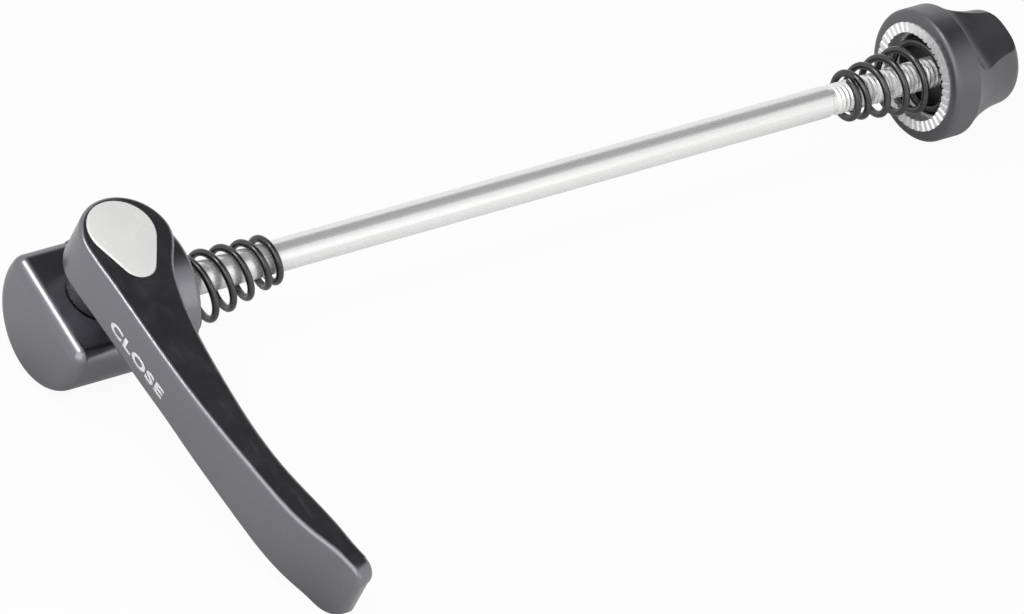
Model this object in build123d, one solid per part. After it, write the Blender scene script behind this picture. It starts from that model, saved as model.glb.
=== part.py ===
from build123d import *
import os
from math import asin, atan, atan2, cos, degrees, pi, radians, sin, sqrt

# Quick release skewer for a rear wheel, closed, lying at rest.
# Everything is modelled with the rod along X and the cam axle along Z, the origin on the rod axis in the
# lever side's clamp face, and is then rolled about the rod until the lever's tip meets the floor.

# Fits
running_fit = 0.05        # radial clearance of a journal or a sliding fit
seat_fit = 0.03           # clearance round a piece that seats in another
slot_gap = 0.15           # rod and eye to the walls of the housing's slot
face_gap = 0.05           # between faces that turn on each other

# Rod
clamp_gap = 142.0         # between the two clamp faces
rod_diameter = 5.0
thread_start = 124.7      # rod turned down to the core of its thread from here
thread_core = 4.3
rod_end_inset = 1.0       # rod end below the nut's outer end
rod_end_chamfer = 0.6
eye_flat = 0.1            # each face of the eye below the rod's surface
eye_wall = 1.55           # eye outside the cam's slot
eye_neck = 9.5            # taper from the eye to the rod
eye_edge = 0.6

# Cam
cam_setback = 12.9        # cam axle behind the clamp face
cam_throw = 1.1           # lobe off the axle's centre
lobe_diameter = 6.2
lobe_play = 0.3           # lobe in the eye, along the rod and across it

# Housing
housing_diameter = 21.2
housing_length = 22.5
housing_edge = 2.0        # rounding of the outer end and the lever seat
flange_edge = 0.9         # rounding of the clamp flange
lever_seat = 4.0          # flat seat of the lever above the rod axis
recess_radius = 8.8       # clearance round the lever hub
slot_end_gap = 0.3        # eye to the blind end of its slot
nut_recess = 3.75         # washer and axle nut below the housing's underside
bush_wall = 1.1
nut_bore_diameter = 8.6   # counterbore of the axle nut

# Clamp rings
ring_outer = 17.4
ring_inner = 14.2
ring_thickness = 1.6
ring_proud = 0.4          # serrated face in front of the housing or the cover
ring_teeth = 40
tooth_depth = 0.35

# Lever
lever_top = 17.5          # top face above the rod axis
lever_reach = 64.5        # cam axle to the tip
hub_diameter = 15.0
hub_flare = 5.25          # height over which the hub widens from its foot
foot_wall = 0.35          # hub's foot outside the seal
blade_depth = 8.45        # top face to underside, beside the hub
blade_drop = 0.114        # slope of the underside towards the tip
drop_start = 0.4          # share of the reach where that slope begins
drop_round = 60.0         # rounding where it begins
tip_round = 5.2           # lower corner of the tip
tip_crown = 2.6           # upper corner of the tip
tip_back_corner = 0.8     # corners of the tip seen from above
tip_front_corner = 1.6
tip_sweep = 0.25          # slant of the blade's edges at the tip, towards the nut
tip_slant = 1.2           # front corner of the tip short of the back one
blade_turn = 8.0          # where the blade's front edge leaves the hub, degrees
lever_edge = 0.7          # rounding of the top face
under_edge = 0.6          # rounding of the underside
blade_stations = (        # share of the reach, sweep towards the nut, width
    (0.090, -1.20, 11.9),
    (0.165, -1.95, 9.8),
    (0.405, -2.30, 7.0),
    (0.680, -0.55, 5.3),
    (0.855, 2.20, 4.95),
    (0.930, 3.65, 3.75),
)
seal_section = 0.7
seal_proud = 0.2          # seal below the hub's foot

# Axle head
head_radius = 5.4
head_centre = (-0.4, 1.5)      # wide end from the axle
head_tip_radius = 2.9
head_tip_centre = (-0.9, -4.3)      # narrow end from the axle
head_sink = 1.7           # depth of its pocket in the lever
head_crown = 0.45         # height of the dome above the top face
dome_radius = 42.0
head_edge = 0.4

# Axle retaining nut
washer_thickness = 0.6
washer_diameter = 7.8
axle_nut_flats = 7.0
axle_nut_thickness = 2.0
axle_end_proud = 0.2

# Springs
wire_diameter = 1.15
spring_large = 11.4       # mean diameter at the wheel's clamp faces
spring_small = 7.0        # mean diameter towards the hub
spring_pitch = 3.45
spring_turns = 4.65       # open turns
end_turns = 0.95          # closed turns at the small end
end_pitch = 1.3
spring_steps = 12         # points of the wire's path in a turn
spring_hang = 0.12        # slack spring over the top of the rod
spring_slack = 0.65       # slack spring off the face behind it
spring_gap = 0.325        # large end to the wall of the nut's cup
nut_spring_turn = 200.0   # turn of the nut's spring on the rod, degrees

# Nut
nut_diameter = 21.2
nut_length = 16.0
nut_rim = 5.0             # length of the full rim
nut_neck_at = 10.0
nut_neck_diameter = 16.6
nut_end_diameter = 15.0
nut_edge = 0.8            # rounding of the rim
nut_end_edge = 1.8        # rounding of the outer end
scoop_radius = 5.0
scoop_start = 4.6         # finger scoops behind the clamp face
nut_bar = 12.8            # thickness left between the finger scoops
core_flange = 4.3         # length of the core's full diameter
core_step = 2.8           # depth of the serrated ring's bore
core_cup_depth = 4.5      # recess that the spring sits in
core_wall = 0.6
core_floor = 1.4
core_flats = 8.0
core_length = 12.5
nut_end_hole = 5.8
lock_ring_outer = 6.6
lock_ring_length = 1.5

# Sizes that follow from those above
rod_radius = rod_diameter / 2
core_radius = thread_core / 2
cam_x = -cam_setback
lobe_x = cam_x - cam_throw
lobe_radius = lobe_diameter / 2
eye_hole_width = lobe_diameter + 2 * lobe_play
eye_hole_length = eye_hole_width + 2 * cam_throw
eye_radius = eye_hole_length / 2 + eye_wall
eye_thickness = rod_diameter - 2 * eye_flat
slot_half_height = rod_radius + slot_gap
upper_journal = lobe_radius + cam_throw + running_fit
lower_journal = lobe_radius - cam_throw
housing_radius = housing_diameter / 2
housing_face = -ring_proud
hub_foot = lever_seat + face_gap + seal_proud
seal_radius = upper_journal + seat_fit + seal_section / 2
seal_bore = upper_journal + 2 * seat_fit + seal_section
blade_under = lever_top - blade_depth
bush_bottom = nut_recess - housing_radius
bush_radius = lower_journal + bush_wall
cup_radius = (spring_large + wire_diameter) / 2 + spring_gap
rod_end = clamp_gap + nut_length - rod_end_inset


def along_x(x):
    # Plane across the rod at x, looking towards the nut.
    return Plane(origin=(x, 0, 0), x_dir=(0, 1, 0), z_dir=(1, 0, 0))


def along_z(z, x=cam_x):
    # Plane across the cam axle at height z.
    return Plane(origin=(x, 0, z), x_dir=(1, 0, 0), z_dir=(0, 0, 1))


def round_x(x_from, x_to, radius):
    return extrude(along_x(x_from) * Circle(radius), x_to - x_from)


def round_z(z_from, z_to, radius, x=cam_x):
    return extrude(along_z(z_from, x) * Circle(radius), z_to - z_from)


def skewer_rod():
    # The eye is forged flat from the end of the rod and slotted across for the cam's lobe.
    eye = Pos(lobe_x, 0) * Circle(eye_radius)
    neck_end = Pos(lobe_x + eye_neck, 0) * Rectangle(eye_edge, rod_diameter)
    outline = make_hull(eye.edges() + neck_end.edges())
    plate = extrude(outline, eye_thickness / 2, both=True)
    plate = fillet(plate.edges().filter_by(Plane.XY), eye_edge)
    shank = round_x(lobe_x + eye_radius, thread_start, rod_radius)
    shank = chamfer(shank.faces().sort_by(Axis.X)[-1].edges(), rod_radius - core_radius)
    thread = round_x(thread_start, rod_end, core_radius)
    thread = chamfer(thread.faces().sort_by(Axis.X)[-1].edges(), rod_end_chamfer)
    hole = Pos(lobe_x, 0) * Rot(Z=90) * SlotOverall(eye_hole_length, eye_hole_width)
    return plate + shank + thread - extrude(hole, rod_radius, both=True)


def cam_housing():
    # A round body, cut down to a flat seat for the lever from its outer end to a wall round the hub.
    body = round_x(-housing_length, housing_face, housing_radius)
    above = housing_radius - lever_seat
    flat_length = housing_length - cam_setback
    flat = Pos(cam_x - flat_length, 0, lever_seat) * Box(
        flat_length, housing_diameter, above, align=(Align.MIN, Align.CENTER, Align.MIN))
    body -= flat
    seat = body.faces().filter_by(Axis.Z).sort_by(Axis.Z)[-1]
    end = body.faces().filter_by(Axis.X).sort_by(Axis.X)[0]
    outer = [edge for edge in seat.edges() if edge.center().X < cam_x - running_fit]
    body = fillet(outer + end.edges().filter_by(GeomType.CIRCLE), housing_edge)
    body -= round_z(lever_seat, lever_seat + above, recess_radius)
    flange = body.faces().sort_by(Axis.X)[-1].edges()
    body = fillet(flange, flange_edge)
    slot = Pos(lobe_x, 0) * Circle(eye_radius + slot_end_gap)
    slot += Pos(lobe_x, 0) * Rectangle(
        -lobe_x, 2 * (eye_radius + slot_end_gap), align=(Align.MIN, Align.CENTER))
    body -= extrude(slot, slot_half_height, both=True)
    body -= round_z(0, lever_seat, upper_journal + running_fit)
    body -= round_z(0, bush_bottom, bush_radius + seat_fit)
    body -= round_z(bush_bottom, -housing_radius, nut_bore_diameter / 2)
    groove = round_x(-ring_thickness, 0, ring_outer / 2 + seat_fit)
    groove -= round_x(-ring_thickness, 0, ring_inner / 2 - seat_fit)
    return body - groove


def serrations(face_x, inward, outer, inner):
    # Radial notches of a clamp ring, between flat lands.
    half_width = pi * inner / ring_teeth / 2
    notch = Polyline((-half_width, 0), (half_width, 0), (0, tooth_depth), close=True)
    notch = extrude(Plane.XZ * make_face(notch), -outer)
    turned = Location((face_x, 0, 0), (0, 90 * inward, 0))
    return [Rot(X=360 * tooth / ring_teeth) * turned * notch for tooth in range(ring_teeth)]


def housing_clamp_ring():
    ring = round_x(-ring_thickness, 0, ring_outer / 2) - round_x(-ring_thickness, 0, ring_inner / 2)
    return ring - serrations(0, -1, ring_outer / 2, ring_inner / 2)


def head_outline(clearance):
    # Teardrop round the axle, narrow towards the lever's tip.
    wide = Pos(*head_centre) * Circle(head_radius + clearance)
    narrow = Pos(*head_tip_centre) * Circle(head_tip_radius + clearance)
    return make_hull(wide.edges() + narrow.edges())


def cam_axle():
    # Teardrop head, upper journal, eccentric lobe, lower journal and threaded end, in one piece.
    head_base = lever_top - head_sink
    head_top = lever_top + head_crown
    head = extrude(along_z(head_base) * head_outline(0), head_top - head_base)
    dome = Pos(cam_x, 0, head_top - dome_radius) * Sphere(dome_radius)
    head = head & dome
    rim = head.edges().filter_by(lambda edge: edge.bounding_box().min.Z > lever_top - head_sink / 2)
    head = fillet(rim, head_edge)
    lobe_half = eye_thickness / 2 + slot_gap
    axle = head + round_z(lobe_half, head_base, upper_journal)
    axle += round_z(-lobe_half, lobe_half, lobe_radius, lobe_x)
    axle_end = bush_bottom - washer_thickness - axle_nut_thickness - axle_end_proud
    return axle + round_z(axle_end, -lobe_half, lower_journal)


def tip_corners():
    # Back and front corners of the tip, seen from above.
    share, sweep, width = blade_stations[-1]
    back_run = lever_reach * (1 - share)
    front_run = back_run - tip_slant
    back = Vector(sweep - width / 2 + tip_sweep * back_run, -lever_reach)
    front = Vector(sweep + width / 2 + tip_sweep * front_run, tip_slant - lever_reach)
    return back, front


def lever_plan():
    # Hub and blade from above: the blade leaves the hub behind the cam axle and sweeps towards the nut.
    hub_radius = hub_diameter / 2
    back = [(sweep - width / 2, -share * lever_reach) for share, sweep, width in blade_stations]
    front = [(sweep + width / 2, -share * lever_reach) for share, sweep, width in blade_stations]
    turn = radians(blade_turn)
    front_start = (hub_radius * cos(turn), hub_radius * sin(turn))
    tip_lean = (tip_sweep, -1)
    back_edge = Spline((-hub_radius, 0), *back, tangents=((0, -1), tip_lean))
    front_edge = Spline(front_start, *front, tangents=((sin(turn), -cos(turn)), tip_lean))
    back_tip, front_tip = tip_corners()
    hub_arc = ThreePointArc(front_start, (0, hub_radius), (-hub_radius, 0))
    outline = hub_arc + back_edge + Line(back_edge @ 1, back_tip) + Line(back_tip, front_tip)
    outline += Line(front_tip, front_edge @ 1)
    plan = make_face((outline + front_edge).edges())
    plan = fillet(plan.vertices().sort_by_distance(back_tip)[0], tip_back_corner)
    return fillet(plan.vertices().sort_by_distance(front_tip)[0], tip_front_corner)


def lever_side():
    # Hub and blade from the side: level below the hub, then deeper towards a rounded tip.
    level_end = -drop_start * lever_reach
    corners = Polyline(
        (hub_diameter, blade_under),
        (level_end, blade_under),
        (-lever_reach, blade_under - blade_drop * (lever_reach + level_end)),
        (-lever_reach, lever_top),
        (hub_diameter, lever_top),
        close=True)
    side = make_face(corners)
    bend = side.vertices().sort_by_distance((level_end, blade_under))[0]
    side = fillet(bend, drop_round)
    lower = side.vertices().sort_by(Axis.Y)[0]
    return fillet(lower, tip_round)


def tip_crown_cut():
    # What is cut away to round the upper corner of the tip.
    back, front = tip_corners()
    along = (front - back).normalized()
    outward = along.cross(Vector(0, 0, 1))
    corner = Polyline((-tip_crown, 0), (tip_crown, 0), (tip_crown, -tip_crown), (0, -tip_crown))
    corner += RadiusArc((0, -tip_crown), (-tip_crown, 0), tip_crown)
    end = Plane(origin=(back.X, back.Y, lever_top), x_dir=outward, z_dir=-along)
    return extrude(end * make_face(corner.edges()), hub_diameter, both=True)


def lever():
    foot_radius = seal_bore + foot_wall
    hub_radius = hub_diameter / 2
    flare_top = hub_foot + hub_flare
    pocket_floor = lever_top - head_sink
    blade = extrude(lever_plan(), lever_top)
    blade &= extrude(Plane.YZ * lever_side(), lever_reach, both=True)
    top = blade.faces().sort_by(Axis.Z)[-1]
    blade = fillet(top.edges(), lever_edge)
    under = blade.edges().filter_by(lambda edge: edge.center().Z < blade_under + under_edge)
    blade = fillet(under, under_edge)
    blade -= tip_crown_cut()
    foot = Polyline(
        (0, pocket_floor),
        (0, hub_foot),
        (foot_radius, hub_foot),
        (hub_radius, flare_top),
        (hub_radius, pocket_floor),
        close=True)
    body = blade + revolve(Plane.XZ * make_face(foot), Axis.Z)
    body = Pos(cam_x, 0, 0) * body
    body -= extrude(along_z(pocket_floor) * head_outline(seat_fit), head_sink)
    body -= round_z(hub_foot, lever_top, upper_journal + seat_fit)
    return body - round_z(hub_foot, hub_foot - seal_proud + seal_section + seat_fit, seal_bore)


def hub_seal():
    middle = hub_foot - seal_proud + seal_section / 2
    return Pos(cam_x, 0, middle) * Torus(seal_radius, seal_section / 2)


def cam_bush():
    top = -slot_half_height
    return round_z(bush_bottom, top, bush_radius) - round_z(bush_bottom, top, lower_journal + running_fit)


def axle_washer():
    top = bush_bottom - face_gap
    bottom = bush_bottom - washer_thickness + face_gap
    return round_z(bottom, top, washer_diameter / 2) - round_z(bottom, top, lower_journal + running_fit)


def axle_nut():
    top = bush_bottom - washer_thickness
    hexagon = RegularPolygon(axle_nut_flats / 2, 6, major_radius=False)
    body = extrude(along_z(top) * hexagon, -axle_nut_thickness)
    return body - round_z(top - axle_nut_thickness, top, lower_journal + seat_fit)


def spring():
    # Conical coil from its large end at the origin along +X, its small end closed.
    points = []
    for step in range(round((spring_turns + end_turns) * spring_steps) + 1):
        turn = step / spring_steps
        closed = max(0, turn - spring_turns)
        opened = turn - closed
        radius = spring_large / 2 - opened / spring_turns * (spring_large - spring_small) / 2
        along = opened * spring_pitch + closed * end_pitch
        points.append((along, -radius * sin(2 * pi * turn), radius * cos(2 * pi * turn)))
    path = Spline(*points)
    section = Plane(path @ 0, z_dir=path % 0) * Circle(wire_diameter / 2)
    return sweep(section, path, is_frenet=True)


def lever_spring():
    # Slack on the rod: it hangs with its upper side along the top of the rod.
    large = spring_large / 2
    tilt = degrees(atan((large - spring_small / 2) / (spring_turns * spring_pitch)))
    drop = large - wire_diameter / 2 - rod_radius - spring_hang
    start = wire_diameter / 2 + large * sin(radians(tilt)) + spring_slack
    coil = Rot(Y=-tilt) * spring()
    return Rot(X=-rest_roll()) * Pos(start, 0, -drop) * coil


def nut_spring():
    start = clamp_gap + core_cup_depth - wire_diameter / 2 - spring_slack
    return Pos(start, 0, 0) * Rot(X=nut_spring_turn) * Rot(Z=180) * spring()


def nut_core():
    # Threaded steel core: serrated ring and spring cup in front, a hexagon shank behind.
    cup_end = clamp_gap + core_cup_depth + core_floor
    core = round_x(clamp_gap, clamp_gap + core_flange, ring_outer / 2)
    core += round_x(clamp_gap + core_flange, cup_end, cup_radius + core_wall)
    core -= round_x(clamp_gap, clamp_gap + core_step, ring_inner / 2)
    core -= round_x(clamp_gap + core_step, clamp_gap + core_cup_depth, cup_radius)
    shank_length = core_length - core_cup_depth - core_floor
    hexagon = RegularPolygon(core_flats / 2, 6, major_radius=False)
    core += extrude(along_x(cup_end) * hexagon, shank_length)
    core -= round_x(clamp_gap, clamp_gap + core_length, core_radius + running_fit)
    ring_seat = clamp_gap + core_length - lock_ring_length
    core -= round_x(ring_seat, clamp_gap + core_length, lock_ring_outer / 2)
    return core - serrations(clamp_gap, 1, ring_outer / 2, ring_inner / 2)


def nut_lock_ring():
    start = clamp_gap + core_length - lock_ring_length
    end = clamp_gap + core_length
    ring = round_x(start, end, lock_ring_outer / 2 - seat_fit)
    return ring - round_x(start, end, core_radius + running_fit)


def nut_cover():
    # Round rim and necked body, with a finger scoop on two sides that leaves a bar between them.
    face = clamp_gap + ring_proud
    end = clamp_gap + nut_length
    rim_end = clamp_gap + nut_rim
    neck = clamp_gap + nut_neck_at
    profile = Polyline((face, 0), (face, nut_diameter / 2), (rim_end, nut_diameter / 2))
    profile += Spline(
        (rim_end, nut_diameter / 2),
        (neck, nut_neck_diameter / 2),
        (end, nut_end_diameter / 2))
    profile += Polyline((end, nut_end_diameter / 2), (end, 0), (face, 0))
    body = revolve(make_face(profile.edges()), Axis.X)
    body = fillet(body.faces().sort_by(Axis.X)[0].outer_wire().edges(), nut_edge)
    body = fillet(body.faces().sort_by(Axis.X)[-1].outer_wire().edges(), nut_end_edge)
    scoop_x = clamp_gap + scoop_start + scoop_radius
    scoop_z = nut_bar / 2 + scoop_radius
    scoop = Polyline((scoop_x, nut_bar / 2), (end, nut_bar / 2), (end, scoop_z), (scoop_x - scoop_radius, scoop_z))
    scoop += RadiusArc((scoop_x - scoop_radius, scoop_z), (scoop_x, nut_bar / 2), -scoop_radius)
    scoop = extrude(Plane.XZ * make_face(scoop.edges()), nut_diameter, both=True)
    body -= [scoop, Rot(X=180) * scoop]
    cup_end = clamp_gap + core_cup_depth + core_floor
    body -= round_x(clamp_gap, clamp_gap + core_flange + seat_fit, ring_outer / 2 + seat_fit)
    body -= round_x(clamp_gap, cup_end + seat_fit, cup_radius + core_wall + seat_fit)
    hexagon = RegularPolygon(core_flats / 2 + seat_fit, 6, major_radius=False)
    body -= extrude(along_x(cup_end) * hexagon, clamp_gap + core_length - cup_end + seat_fit)
    return body - round_x(cup_end, end, nut_end_hole / 2)


def rest_roll():
    # Roll about the rod that brings the round lower corner of the lever's tip down to the floor.
    corner_y = -lever_reach + tip_round
    drop_z = blade_under - blade_drop * (-corner_y - drop_start * lever_reach)
    corner_z = drop_z + tip_round * sqrt(1 + blade_drop ** 2)
    reach = sqrt(corner_y ** 2 + corner_z ** 2)
    lean = asin((tip_round - housing_radius) / reach)
    return degrees(pi - lean - atan2(corner_z, corner_y))


pieces = {
    "skewer_rod": skewer_rod,
    "cam_housing": cam_housing,
    "housing_clamp_ring": housing_clamp_ring,
    "cam_axle": cam_axle,
    "lever": lever,
    "hub_seal": hub_seal,
    "cam_bush": cam_bush,
    "axle_washer": axle_washer,
    "axle_nut": axle_nut,
    "lever_spring": lever_spring,
    "nut_spring": nut_spring,
    "nut_core": nut_core,
    "nut_lock_ring": nut_lock_ring,
    "nut_cover": nut_cover,
}

os.makedirs("parts", exist_ok=True)
roll = Rot(X=rest_roll())
for name, make in pieces.items():
    export_step(roll * make(), f"parts/{name}.step")
print(f"rest roll {rest_roll():.3f} degrees")
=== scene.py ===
import math

import bpy
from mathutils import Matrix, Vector


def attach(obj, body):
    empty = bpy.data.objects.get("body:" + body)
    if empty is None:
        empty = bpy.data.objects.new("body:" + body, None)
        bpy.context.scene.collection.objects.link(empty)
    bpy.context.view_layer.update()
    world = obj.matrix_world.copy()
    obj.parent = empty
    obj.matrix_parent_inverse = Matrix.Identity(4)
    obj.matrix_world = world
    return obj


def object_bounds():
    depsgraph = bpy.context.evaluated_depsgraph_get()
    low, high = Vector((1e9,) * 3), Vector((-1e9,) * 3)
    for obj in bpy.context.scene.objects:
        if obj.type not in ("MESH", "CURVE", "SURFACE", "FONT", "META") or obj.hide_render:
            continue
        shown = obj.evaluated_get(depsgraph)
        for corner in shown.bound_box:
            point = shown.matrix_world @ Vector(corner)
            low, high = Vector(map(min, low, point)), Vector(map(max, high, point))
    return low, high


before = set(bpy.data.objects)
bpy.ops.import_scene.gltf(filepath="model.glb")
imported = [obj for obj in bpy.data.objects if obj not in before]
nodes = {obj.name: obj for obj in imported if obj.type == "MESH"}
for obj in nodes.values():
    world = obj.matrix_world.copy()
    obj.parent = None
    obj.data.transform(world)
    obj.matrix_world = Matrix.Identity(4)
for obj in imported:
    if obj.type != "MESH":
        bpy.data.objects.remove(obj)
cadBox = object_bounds()
scene = bpy.context.scene
print("frame loaded:", len(nodes), "pieces")

mm = 0.001
restRoll = math.radians(15.153)  # the skewer lies rolled over onto the lever's tip


# Small helpers

def deselectAll():
    if bpy.context.object and bpy.context.object.mode != "OBJECT":
        bpy.ops.object.mode_set(mode="OBJECT")
    bpy.ops.object.select_all(action="DESELECT")


def pick(piece):
    deselectAll()
    piece.select_set(True)
    bpy.context.view_layer.objects.active = piece


def startEdit(piece, action="SELECT"):
    pick(piece)
    bpy.ops.object.mode_set(mode="EDIT")
    bpy.ops.mesh.select_all(action=action)


def applyPlace(piece, place=(0, 0, 0), turn=(0, 0, 0), size=(1, 1, 1)):
    # puts a place, a turn in degrees and a size into the mesh
    pick(piece)
    piece.location = place
    piece.rotation_euler = [math.radians(angle) for angle in turn]
    piece.scale = size
    bpy.ops.object.transform_apply(location=True, rotation=True, scale=True)


def applyModifier(piece, kind, **settings):
    pick(piece)
    made = piece.modifiers.new(kind.lower(), kind)
    for name, value in settings.items():
        setattr(made, name, value)
    bpy.ops.object.modifier_apply(modifier=made.name)


def cleanMesh(piece, gap=1e-6):
    startEdit(piece)
    bpy.ops.mesh.remove_doubles(threshold=gap)
    bpy.ops.mesh.normals_make_consistent(inside=False)
    bpy.ops.object.mode_set(mode="OBJECT")


def newNode(tree, kind, x, y, **settings):
    made = tree.nodes.new(kind)
    made.location = (x, y)
    for name, value in settings.items():
        setattr(made, name, value)
    return made


def link(tree, source, target):
    tree.links.new(source, target)


def mathNode(tree, operation, first, second, x, y):
    made = newNode(tree, "ShaderNodeMath", x, y, operation=operation)
    for socket, value in zip(made.inputs, (first, second)):
        if isinstance(value, (int, float)):
            socket.default_value = value
        else:
            link(tree, value, socket)
    return made.outputs[0]


def rampNode(tree, source, low, high, fromValue, toValue, x, y):
    made = newNode(tree, "ShaderNodeMapRange", x, y)
    link(tree, source, made.inputs["Value"])
    made.inputs["From Min"].default_value = low
    made.inputs["From Max"].default_value = high
    made.inputs["To Min"].default_value = fromValue
    made.inputs["To Max"].default_value = toValue
    return made.outputs["Result"]


def tintNode(tree, factor, dark, light, x, y):
    made = newNode(tree, "ShaderNodeMix", x, y, data_type="RGBA")
    link(tree, factor, made.inputs["Factor"])
    made.inputs["A"].default_value = (*dark, 1)
    made.inputs["B"].default_value = (*light, 1)
    return made.outputs["Result"]


def newGroup(name, inputs, outputs):
    group = bpy.data.node_groups.new(name, "ShaderNodeTree")
    for socketName, value in inputs.items():
        socket = group.interface.new_socket(socketName, in_out="INPUT", socket_type="NodeSocketFloat")
        socket.default_value = value
    for socketName in outputs:
        group.interface.new_socket(socketName, in_out="OUTPUT", socket_type="NodeSocketFloat")
    start = newNode(group, "NodeGroupInput", -900, 0)
    end = newNode(group, "NodeGroupOutput", 700, 0)
    return group, start, end


def placeGroup(tree, group, x, y, **values):
    made = newNode(tree, "ShaderNodeGroup", x, y, node_tree=group)
    for name, value in values.items():
        made.inputs[name].default_value = value
    return made


def newMaterial(name, metal=0.0):
    material = bpy.data.materials.new(name)
    material.use_nodes = True
    shader = material.node_tree.nodes["Principled BSDF"]
    shader.inputs["Metallic"].default_value = metal
    return material, material.node_tree, shader


def bumpInto(tree, shader, height, distance, strength, x, y):
    made = newNode(tree, "ShaderNodeBump", x, y)
    made.inputs["Distance"].default_value = distance
    made.inputs["Strength"].default_value = strength
    link(tree, height, made.inputs["Height"])
    link(tree, made.outputs["Normal"], shader.inputs["Normal"])


def paint(nodeName, material):
    piece = nodes[nodeName]
    piece.data.materials.clear()
    piece.data.materials.append(material)


# Shared effects

grainLook = {
    "sizes": {"Scale": 9000.0, "Clouds": 260.0},
    "detail": 3,
    "harshness": 0.6,
    "cloudDetail": 4,
    "cloudWarp": 0.6,
}


def makeFineGrain():
    # tumbled or blasted metal: a fine even grain and broader clouds in it
    group, start, end = newGroup("fineGrain", grainLook["sizes"], ("Grain", "Cloud"))
    coords = newNode(group, "ShaderNodeTexCoord", -900, -250)
    grain = newNode(group, "ShaderNodeTexNoise", -500, 150)
    grain.inputs["Detail"].default_value = grainLook["detail"]
    grain.inputs["Roughness"].default_value = grainLook["harshness"]
    cloud = newNode(group, "ShaderNodeTexNoise", -500, -150)
    cloud.inputs["Detail"].default_value = grainLook["cloudDetail"]
    cloud.inputs["Distortion"].default_value = grainLook["cloudWarp"]
    for made, socketName in ((grain, "Scale"), (cloud, "Clouds")):
        link(group, coords.outputs["Object"], made.inputs["Vector"])
        link(group, start.outputs[socketName], made.inputs["Scale"])
    link(group, grain.outputs["Fac"], end.inputs["Grain"])
    link(group, cloud.outputs["Fac"], end.inputs["Cloud"])
    return group


linesLook = {
    "sizes": {"Across": 2600.0, "Along": 18.0},
    "detail": 5,
    "waverScale": 0.12,
    "waverDetail": 2,
}


def makeDrawnLines():
    # drawing or polishing lines along the rod, with a slow waver
    group, start, end = newGroup("drawnLines", linesLook["sizes"], ("Lines", "Waver"))
    coords = newNode(group, "ShaderNodeTexCoord", -900, -250)
    split = newNode(group, "ShaderNodeSeparateXYZ", -720, -250)
    link(group, coords.outputs["Object"], split.inputs[0])
    joined = newNode(group, "ShaderNodeCombineXYZ", -350, 0)
    along = mathNode(group, "MULTIPLY", split.outputs["X"], start.outputs["Along"], -540, 120)
    link(group, along, joined.inputs[0])
    for socket, axis, y in ((1, "Y", -20), (2, "Z", -160)):
        across = mathNode(group, "MULTIPLY", split.outputs[axis], start.outputs["Across"], -540, y)
        link(group, across, joined.inputs[socket])
    lines = newNode(group, "ShaderNodeTexNoise", -100, 120)
    lines.inputs["Scale"].default_value = 1
    lines.inputs["Detail"].default_value = linesLook["detail"]
    waver = newNode(group, "ShaderNodeTexNoise", -100, -160)
    waver.inputs["Scale"].default_value = linesLook["waverScale"]
    waver.inputs["Detail"].default_value = linesLook["waverDetail"]
    for made in (lines, waver):
        link(group, joined.outputs[0], made.inputs["Vector"])
    link(group, lines.outputs["Fac"], end.inputs["Lines"])
    link(group, waver.outputs["Fac"], end.inputs["Waver"])
    return group


scuffLook = {
    "sizes": {"Density": 900.0},
    "turns": (0.5, -1.1),  # the two directions, in radians
    "lean": 0.3,
    "stretch": (1, 0.04, 0.3),
    "detail": 2,
    "edge": (0.66, 0.74),
}


def makeScuffs():
    # sparse hairline scratches in two directions
    group, start, end = newGroup("scuffs", scuffLook["sizes"], ("Scuff",))
    coords = newNode(group, "ShaderNodeTexCoord", -900, -250)
    found = []
    for turn, y in zip(scuffLook["turns"], (200, -200)):
        place = newNode(group, "ShaderNodeMapping", -700, y)
        place.inputs["Rotation"].default_value = (scuffLook["lean"], turn, turn)
        place.inputs["Scale"].default_value = scuffLook["stretch"]
        link(group, coords.outputs["Object"], place.inputs["Vector"])
        scratch = newNode(group, "ShaderNodeTexNoise", -450, y)
        scratch.inputs["Detail"].default_value = scuffLook["detail"]
        link(group, place.outputs[0], scratch.inputs["Vector"])
        link(group, start.outputs["Density"], scratch.inputs["Scale"])
        found.append(rampNode(group, scratch.outputs["Fac"], *scuffLook["edge"], 0, 1, -200, y))
    both = mathNode(group, "MAXIMUM", *found, 200, 0)
    link(group, both, end.inputs["Scuff"])
    return group


fineGrain = makeFineGrain()
drawnLines = makeDrawnLines()
scuffs = makeScuffs()
print("shared effects ready")


# Materials of the solids

noiseSpan = (0.3, 0.7)  # the part of a noise that is used


def makeGrained(name, look):
    # a fine grain with broader clouds, which set the tint
    material, tree, shader = newMaterial(name, look["metal"])
    grain = placeGroup(tree, fineGrain, -700, 100, Scale=look["grain"], Clouds=look["clouds"])
    tint = tintNode(tree, grain.outputs["Cloud"], look["dark"], look["light"], -300, 250)
    link(tree, tint, shader.inputs["Base Color"])
    rough = rampNode(tree, grain.outputs[look["roughBy"]], *noiseSpan, *look["rough"], -450, 0)
    link(tree, rough, shader.inputs["Roughness"])
    bumpInto(tree, shader, grain.outputs["Grain"], *look["bump"], -250, -250)
    return material


# Black alloy: housing and lever anodised over a satin grain, the nut duller

alloyLook = {
    "dark": (0.008, 0.008, 0.009),
    "light": (0.013, 0.013, 0.014),
    "rough": (0.22, 0.29),
    "roughBy": "Cloud",
    "metal": 0.0,
    "grain": 9000.0,
    "clouds": 260.0,
    "bump": (0.00002, 0.25),  # depth in metres and strength
    "worn": 0.05,
    "density": 2.7,
    "cast": (0.94, 0.93, 1.0),
}
nutLook = {
    **alloyLook,
    "dark": (0.010, 0.010, 0.011),
    "light": (0.016, 0.016, 0.017),
    "rough": (0.36, 0.44),
    "density": 2.1,
    "cast": (0.95, 0.94, 1.0),
}


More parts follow.
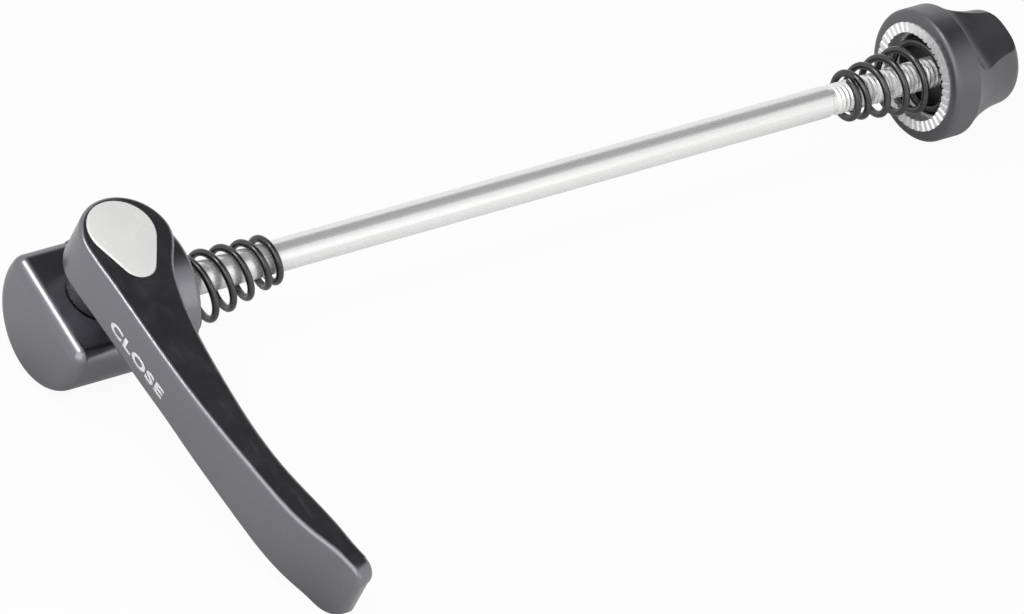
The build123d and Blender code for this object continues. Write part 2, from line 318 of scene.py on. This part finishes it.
def makeBlackAlloy(name, look):
    material = makeGrained(name, look)
    tree = material.node_tree
    shader = tree.nodes["Principled BSDF"]
    shader.inputs["IOR"].default_value = look["density"]
    shader.inputs["Specular Tint"].default_value = (*look["cast"], 1)
    rub = placeGroup(tree, scuffs, -700, -200)
    worn = mathNode(tree, "MULTIPLY", rub.outputs["Scuff"], look["worn"], -450, -160)
    rough = shader.inputs["Roughness"].links[0].from_socket
    link(tree, mathNode(tree, "ADD", rough, worn, -200, 0), shader.inputs["Roughness"])
    return material


blackAlloy = makeBlackAlloy("blackAlloy", alloyLook)
paint("cam_housing", blackAlloy)
paint("lever", blackAlloy)
paint("nut_cover", makeBlackAlloy("nutAlloy", nutLook))
print("black alloy on")


# Polished steel: rod and thread

steelLook = {
    "dark": (0.80, 0.80, 0.80),
    "light": (0.92, 0.92, 0.91),
    "rough": (0.20, 0.32),
    "metal": 0.55,
    "bump": (0.00001, 0.15),
}


def makePolishedSteel():
    material, tree, shader = newMaterial("polishedSteel", steelLook["metal"])
    lines = placeGroup(tree, drawnLines, -700, 100)
    tint = tintNode(tree, lines.outputs["Waver"], steelLook["dark"], steelLook["light"], -300, 250)
    link(tree, tint, shader.inputs["Base Color"])
    rough = rampNode(tree, lines.outputs["Lines"], *noiseSpan, *steelLook["rough"], -300, 0)
    link(tree, rough, shader.inputs["Roughness"])
    bumpInto(tree, shader, lines.outputs["Lines"], *steelLook["bump"], -300, -250)
    return material


polishedSteel = makePolishedSteel()
paint("skewer_rod", polishedSteel)


# Satin silver: cam axle with its teardrop head

silverLook = {
    "dark": (0.88, 0.88, 0.87),
    "light": (0.96, 0.96, 0.95),
    "rough": (0.20, 0.30),
    "roughBy": "Cloud",
    "metal": 0.12,
    "grain": 7000.0,
    "clouds": 180.0,
    "bump": (0.00001, 0.15),
}

paint("cam_axle", makeGrained("satinSilver", silverLook))


# Bright zinc: clamp rings, axle nut and washer, with painted shade in the cups inside the rings

zincLook = {
    "dark": (0.70, 0.70, 0.71),
    "light": (0.92, 0.92, 0.92),
    "rough": (0.30, 0.48),
    "roughBy": "Grain",
    "metal": 0.55,
    "grain": 5200.0,
    "clouds": 900.0,
    "bump": (0.00006, 0.5),
    "cupEdge": (6.7, 7.05),  # from the rod's axis, in millimetres
    # colour of the painted shade inside the cups
    "cupPaintedShade": (0.09, 0.09, 0.09),
}


def makeBrightZinc():
    material = makeGrained("brightZinc", zincLook)
    tree = material.node_tree
    shader = tree.nodes["Principled BSDF"]
    coords = newNode(tree, "ShaderNodeTexCoord", -1300, 500)
    across = newNode(tree, "ShaderNodeVectorMath", -1100, 500, operation="MULTIPLY")
    link(tree, coords.outputs["Object"], across.inputs[0])
    across.inputs[1].default_value = (0, 1, 1)
    out = newNode(tree, "ShaderNodeVectorMath", -900, 500, operation="LENGTH")
    link(tree, across.outputs["Vector"], out.inputs[0])
    low, high = [edge * mm for edge in zincLook["cupEdge"]]
    faceShare = rampNode(tree, out.outputs["Value"], low, high, 0.0, 1.0, -700, 500)
    tint = shader.inputs["Base Color"].links[0].from_socket
    # painted shade: nearer the rod's axis than the rings' inner edge, the colour goes dark
    cup = newNode(tree, "ShaderNodeMix", -100, 350, data_type="RGBA")
    link(tree, faceShare, cup.inputs["Factor"])
    cup.inputs["A"].default_value = (*zincLook["cupPaintedShade"], 1)
    link(tree, tint, cup.inputs["B"])
    link(tree, cup.outputs["Result"], shader.inputs["Base Color"])
    return material


brightZinc = makeBrightZinc()
for name in ("housing_clamp_ring", "nut_core", "axle_washer", "axle_nut"):
    paint(name, brightZinc)


# Spring wire

wireLook = {
    "dark": (0.05, 0.05, 0.052),
    "light": (0.11, 0.11, 0.113),
    "rough": (0.14, 0.26),
    "roughBy": "Grain",
    "metal": 1.0,
    "grain": 4000.0,
    "clouds": 700.0,
    "bump": (0.00002, 0.2),
}

springWire = makeGrained("springWire", wireLook)
paint("lever_spring", springWire)
paint("nut_spring", springWire)


# Rubber and plastic

mouldedLook = {
    "roughBy": "Cloud",
    "metal": 0.0,
    "grain": 6000.0,
    "clouds": 500.0,
    "bump": (0.00003, 0.3),
}
sealLook = {
    **mouldedLook,
    "dark": (0.012, 0.012, 0.012),
    "light": (0.022, 0.022, 0.022),
    "rough": (0.54, 0.66),
}
bushLook = {
    **mouldedLook,
    "dark": (0.02, 0.02, 0.022),
    "light": (0.035, 0.035, 0.037),
    "rough": (0.44, 0.56),
}
lockLook = {
    **mouldedLook,
    "dark": (0.68, 0.67, 0.62),
    "light": (0.78, 0.77, 0.72),
    "rough": (0.34, 0.46),
}

paint("hub_seal", makeGrained("sealRubber", sealLook))
paint("cam_bush", makeGrained("bushPlastic", bushLook))
paint("nut_lock_ring", makeGrained("lockNylon", lockLook))
print("metals and mouldings on")


# Rolled thread on the turned-down end of the rod, in millimetres along and from its axis

threadLook = {
    "start": 125.6,
    "pitch": 0.8,
    "turns": 38,
    "root": 2.10,
    "crest": 2.47,
    "width": 0.76,
    "crestShare": 0.16,
    "steps": 30,
    "weld": 0.0001,
    "smooth": 30,  # in degrees
}


def makeThread():
    look = threadLook
    deselectAll()
    bpy.ops.mesh.primitive_circle_add(vertices=4, radius=math.sqrt(0.5))
    ridge = bpy.context.object
    ridge.name = "rod_thread"
    applyPlace(ridge, turn=(0, 0, 45))  # a unit square
    middle = (look["start"], (look["root"] + look["crest"]) / 2, 0)
    applyPlace(ridge, [value * mm for value in middle],
               size=(look["width"] * mm, (look["crest"] - look["root"]) * mm, 1))
    startEdit(ridge, "DESELECT")
    bpy.ops.object.mode_set(mode="OBJECT")
    for corner in ridge.data.vertices:
        corner.select = corner.co.y > middle[1] * mm
    bpy.ops.object.mode_set(mode="EDIT")
    bpy.ops.transform.resize(value=(look["crestShare"], 1, 1), center_override=(look["start"] * mm, 0, 0))
    bpy.ops.object.mode_set(mode="OBJECT")
    applyModifier(ridge, "SCREW", axis="X", screw_offset=look["pitch"] * mm, iterations=look["turns"],
                  steps=look["steps"], render_steps=look["steps"], use_normal_calculate=True)
    startEdit(ridge)
    bpy.ops.mesh.remove_doubles(threshold=look["weld"] * mm)
    bpy.ops.mesh.fill_holes(sides=0)  # both ends of the ridge
    bpy.ops.mesh.normals_make_consistent(inside=False)
    bpy.ops.object.mode_set(mode="OBJECT")
    pick(ridge)
    bpy.ops.object.shade_smooth_by_angle(angle=math.radians(look["smooth"]))
    ridge.data.materials.append(polishedSteel)
    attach(ridge, "rod")


makeThread()
print("thread on")


# Upper corner of the lever's tip, rounded over the hollow solid, in millimetres with the lever level

tipLook = {
    "back": (-9.99625, -64.5),
    "front": (-6.54625, -63.3),
    "lean": (0.24254, -0.97014),
    "top": 17.5,
    "length": 3.1,
    "depth": 2.75,
    "crown": 2.55,
    "backEdge": 0.75,
    "frontEdge": 0.95,
    "crownSteps": 12,
    "edgeSteps": 5,
    "near": 0.01,
    "proud": 1.003,
    "smooth": 35,  # in degrees
}


def pickEdges(piece, wanted):
    # leaves the piece in edit mode with the edges picked whose two ends pass the test
    startEdit(piece, "DESELECT")
    bpy.ops.mesh.select_mode(type="EDGE")
    bpy.ops.mesh.select_all(action="DESELECT")
    bpy.ops.object.mode_set(mode="OBJECT")
    corners = piece.data.vertices
    for edge in piece.data.edges:
        edge.select = wanted(*[corners[index].co for index in edge.vertices])
    bpy.ops.object.mode_set(mode="EDIT")


def makeTip():
    look = tipLook
    deselectAll()
    bpy.ops.mesh.primitive_plane_add(size=1)
    tip = bpy.context.object
    tip.name = "lever_tip"
    lean = Vector((*look["lean"], 0))
    # the plane's corners go to the end of the lever's back and front sides, and back along them
    ends = {-0.5: Vector((*look["back"], 0)) * mm, 0.5: Vector((*look["front"], 0)) * mm}
    for corner in range(4):
        startEdit(tip, "DESELECT")
        bpy.ops.object.mode_set(mode="OBJECT")
        picked = tip.data.vertices[corner]
        picked.select = True
        spot = picked.co.copy()
        goal = ends[round(spot.x, 1)] - lean * (look["length"] * mm if spot.y > 0 else 0)
        bpy.ops.object.mode_set(mode="EDIT")
        bpy.ops.transform.translate(value=goal - spot)
    bpy.ops.mesh.select_all(action="SELECT")
    bpy.ops.mesh.extrude_region_move(TRANSFORM_OT_translate={"value": (0, 0, -look["depth"] * mm)})
    bpy.ops.mesh.normals_make_consistent(inside=False)
    near = look["near"] * mm
    endMiddle = (ends[-0.5] + ends[0.5]) / 2
    pickEdges(tip, lambda one, two: ((one + two) / 2 - endMiddle).length < near)
    bpy.ops.mesh.bevel(offset=look["crown"] * mm, segments=look["crownSteps"], affect="EDGES")
    across = Vector((lean.y, -lean.x, 0))
    for side, offset in ((-0.5, look["backEdge"]), (0.5, look["frontEdge"])):
        foot = ends[side]

        def onRail(one, two):
            # along one side of the tip, over the crown and down its end, but not at the root or the bottom
            beside = all(abs((spot - foot).dot(across)) < near for spot in (one, two))
            atRoot = all((foot - spot).dot(lean) > look["length"] * mm - near for spot in (one, two))
            low = all(spot.z < near - look["depth"] * mm for spot in (one, two))
            return beside and not atRoot and not low

        pickEdges(tip, onRail)
        bpy.ops.mesh.bevel(offset=offset * mm, segments=look["edgeSteps"], affect="EDGES")
    bpy.ops.mesh.select_mode(type="VERT")
    bpy.ops.object.mode_set(mode="OBJECT")
    # a hair larger than the solid, about its own middle
    spots = [corner.co.copy() for corner in tip.data.vertices]
    centre = sum(spots, Vector()) / len(spots)
    applyPlace(tip, -centre)
    applyPlace(tip, centre + Vector((0, 0, look["top"] * mm)), size=[look["proud"]] * 3)
    applyPlace(tip, turn=(math.degrees(restRoll), 0, 0))
    cleanMesh(tip)
    pick(tip)
    bpy.ops.object.shade_smooth_by_angle(angle=math.radians(look["smooth"]))
    tip.data.materials.append(blackAlloy)
    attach(tip, "lever")


makeTip()
print("tip on")


# Printed word on the lever's outer side, in millimetres along the lever and above the rod's axis

wordLook = {
    "text": "CLOSE",
    "from": -10.0,
    "to": -23.8,
    "low": 11.15,
    "high": 12.95,
    "lift": 0.012,
    "thick": 0.03,
    "spread": 1.12,
    "bold": 0.042,
    "curveSteps": 8,
    "outside": -24.0,
}
inkLook = {
    "dark": (0.82, 0.82, 0.83),
    "light": (0.92, 0.92, 0.92),
    "rough": (0.42, 0.56),
    "roughBy": "Grain",
    "metal": 0.0,
    "grain": 9000.0,
    "clouds": 1200.0,
    "bump": (0.00001, 0.2),
}


def makeWord():
    look = wordLook
    deselectAll()
    bpy.ops.object.text_add(location=(0, 0, 0))
    word = bpy.context.object
    word.name = "lever_word"
    word.data.body = look["text"]
    word.data.space_character = look["spread"]
    word.data.offset = look["bold"]
    word.data.resolution_u = look["curveSteps"]
    bpy.ops.object.convert(target="MESH")
    word = bpy.context.object
    cleanMesh(word)
    xs = [corner.co.x for corner in word.data.vertices]
    ys = [corner.co.y for corner in word.data.vertices]
    wide = (look["from"] - look["to"]) * mm / (max(xs) - min(xs))
    tall = (look["high"] - look["low"]) * mm / (max(ys) - min(ys))
    applyPlace(word, (-min(xs) * wide, -min(ys) * tall, 0), size=(wide, tall, 1))
    # along the lever, upright, facing out, then rolled over with the skewer
    applyPlace(word, (look["outside"] * mm, look["from"] * mm, look["low"] * mm), turn=(90, 0, -90))
    applyPlace(word, turn=(math.degrees(restRoll), 0, 0))
    applyModifier(word, "SHRINKWRAP", target=nodes["lever"], wrap_method="PROJECT", use_project_x=True,
                  use_positive_direction=True, use_negative_direction=False, offset=look["lift"] * mm)
    applyModifier(word, "SOLIDIFY", thickness=look["thick"] * mm, offset=1.0)
    cleanMesh(word)
    word.data.materials.append(makeGrained("printInk", inkLook))
    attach(word, "lever")


makeWord()
print("word on")


# Floor, light and camera

studio = {
    "floorSize": 6.0,
    "floorColour": (0.86, 0.86, 0.86),
    "floorRough": 0.9,
    "floorShown": (0.94, 1.0),  # share of plain white to the camera and in reflections
    "skyLight": 0.35,
    "cardSide": (0.556, 0.189, 0.809),  # dark card above, seen in reflections only
    "cardEdge": (18, 34),  # where it starts to fade and where it ends, in degrees
    "cardLevel": 0.07,
    # the object's shade on the floor, in reflections: its reach, how light it stays, where it is full
    "nearReach": 0.03,
    "nearLevel": 0.4,
    "nearFull": 0.45,
    "nearSamples": 8,
    "lamps": {  # power, size and place
        "top": (2.8, 0.3, (-0.36, 0.22, 0.95)),
        "key": (7.0, 1.3, (-0.75, -0.45, 0.70)),
        "fill": (1.2, 0.8, (0.35, -1.0, 0.45)),
    },
    "lampAim": (0.03, 0, 0),
}


def makeFloor():
    deselectAll()
    bpy.ops.mesh.primitive_plane_add(size=studio["floorSize"], location=(0, 0, cadBox[0].z))
    floor = bpy.context.object
    floor.name = "floor"
    material, tree, shader = newMaterial("paleFloor")
    shader.inputs["Base Color"].default_value = (*studio["floorColour"], 1)
    shader.inputs["Roughness"].default_value = studio["floorRough"]
    shader.inputs["Specular IOR Level"].default_value = 0.0
    glow = newNode(tree, "ShaderNodeEmission", 0, -300)
    seen = newNode(tree, "ShaderNodeLightPath", -400, 300)
    camera, glossy = seen.outputs["Is Camera Ray"], seen.outputs["Is Glossy Ray"]
    shade = newNode(tree, "ShaderNodeAmbientOcclusion", -700, -300, samples=studio["nearSamples"])
    shade.inputs["Distance"].default_value = studio["nearReach"]
    lit = rampNode(tree, shade.outputs["AO"], studio["nearFull"], 1.0, studio["nearLevel"], 1.0, -400, -300)
    level = mathNode(tree, "MAXIMUM", lit, camera, -200, -300)
    link(tree, level, glow.inputs["Strength"])
    direct, inMirror = studio["floorShown"]
    toCamera = mathNode(tree, "MULTIPLY", camera, direct, -200, 400)
    mirrored = mathNode(tree, "MULTIPLY", glossy, inMirror, -200, 200)
    mix = newNode(tree, "ShaderNodeMixShader", 300, 0)
    link(tree, mathNode(tree, "MAXIMUM", toCamera, mirrored, 0, 300), mix.inputs[0])
    link(tree, shader.outputs[0], mix.inputs[1])
    link(tree, glow.outputs[0], mix.inputs[2])
    link(tree, mix.outputs[0], tree.nodes["Material Output"].inputs["Surface"])
    floor.data.materials.append(material)


def makeWorld():
    world = bpy.data.worlds.new("studio")
    world.use_nodes = True
    scene.world = world
    tree = world.node_tree
    soft = tree.nodes["Background"]
    soft.inputs["Color"].default_value = (1, 1, 1, 1)
    soft.inputs["Strength"].default_value = studio["skyLight"]
    seen = newNode(tree, "ShaderNodeLightPath", -900, 300)
    camera, glossy = seen.outputs["Is Camera Ray"], seen.outputs["Is Glossy Ray"]
    coords = newNode(tree, "ShaderNodeTexCoord", -900, -200)
    toCard = newNode(tree, "ShaderNodeVectorMath", -720, -200, operation="DOT_PRODUCT")
    link(tree, coords.outputs["Generated"], toCard.inputs[0])
    toCard.inputs[1].default_value = studio["cardSide"]
    inner, outer = [math.cos(math.radians(angle)) for angle in studio["cardEdge"]]
    card = rampNode(tree, toCard.outputs["Value"], outer, inner, 1.0, studio["cardLevel"], -540, -200)
    level = mathNode(tree, "MAXIMUM", card, camera, -360, -200)
    shown = newNode(tree, "ShaderNodeBackground", -200, -200)
    shown.inputs["Color"].default_value = (1, 1, 1, 1)
    link(tree, level, shown.inputs["Strength"])
    mix = newNode(tree, "ShaderNodeMixShader", 100, 0)
    link(tree, mathNode(tree, "MAXIMUM", camera, glossy, -200, 300), mix.inputs[0])
    link(tree, soft.outputs[0], mix.inputs[1])
    link(tree, shown.outputs[0], mix.inputs[2])
    link(tree, mix.outputs[0], tree.nodes["World Output"].inputs["Surface"])


def makeLamp(name):
    power, size, place = studio["lamps"][name]
    deselectAll()
    bpy.ops.object.light_add(type="AREA", location=place)
    lamp = bpy.context.object
    lamp.name = name
    lamp.data.energy = power
    lamp.data.size = size
    aim = Vector(studio["lampAim"]) - Vector(place)
    lamp.rotation_euler = aim.to_track_quat("-Z", "Y").to_euler()


cameraLook = {
    "place": (-0.744124, -0.837887, 0.859938),
    "turn": (52.00696, -11.29528, -35.48185),
    "lens": 337.5,
    "sensor": 36,
    "clip": (0.05, 20),
}


def makeCamera():
    deselectAll()
    bpy.ops.object.camera_add(location=cameraLook["place"])
    camera = bpy.context.object
    camera.rotation_euler = [math.radians(angle) for angle in cameraLook["turn"]]
    camera.data.lens = cameraLook["lens"]
    camera.data.sensor_width = cameraLook["sensor"]
    camera.data.clip_start, camera.data.clip_end = cameraLook["clip"]
    scene.camera = camera


scene.view_settings.view_transform = "Standard"
makeFloor()
makeWorld()
for name in studio["lamps"]:
    makeLamp(name)
makeCamera()
print("studio ready")
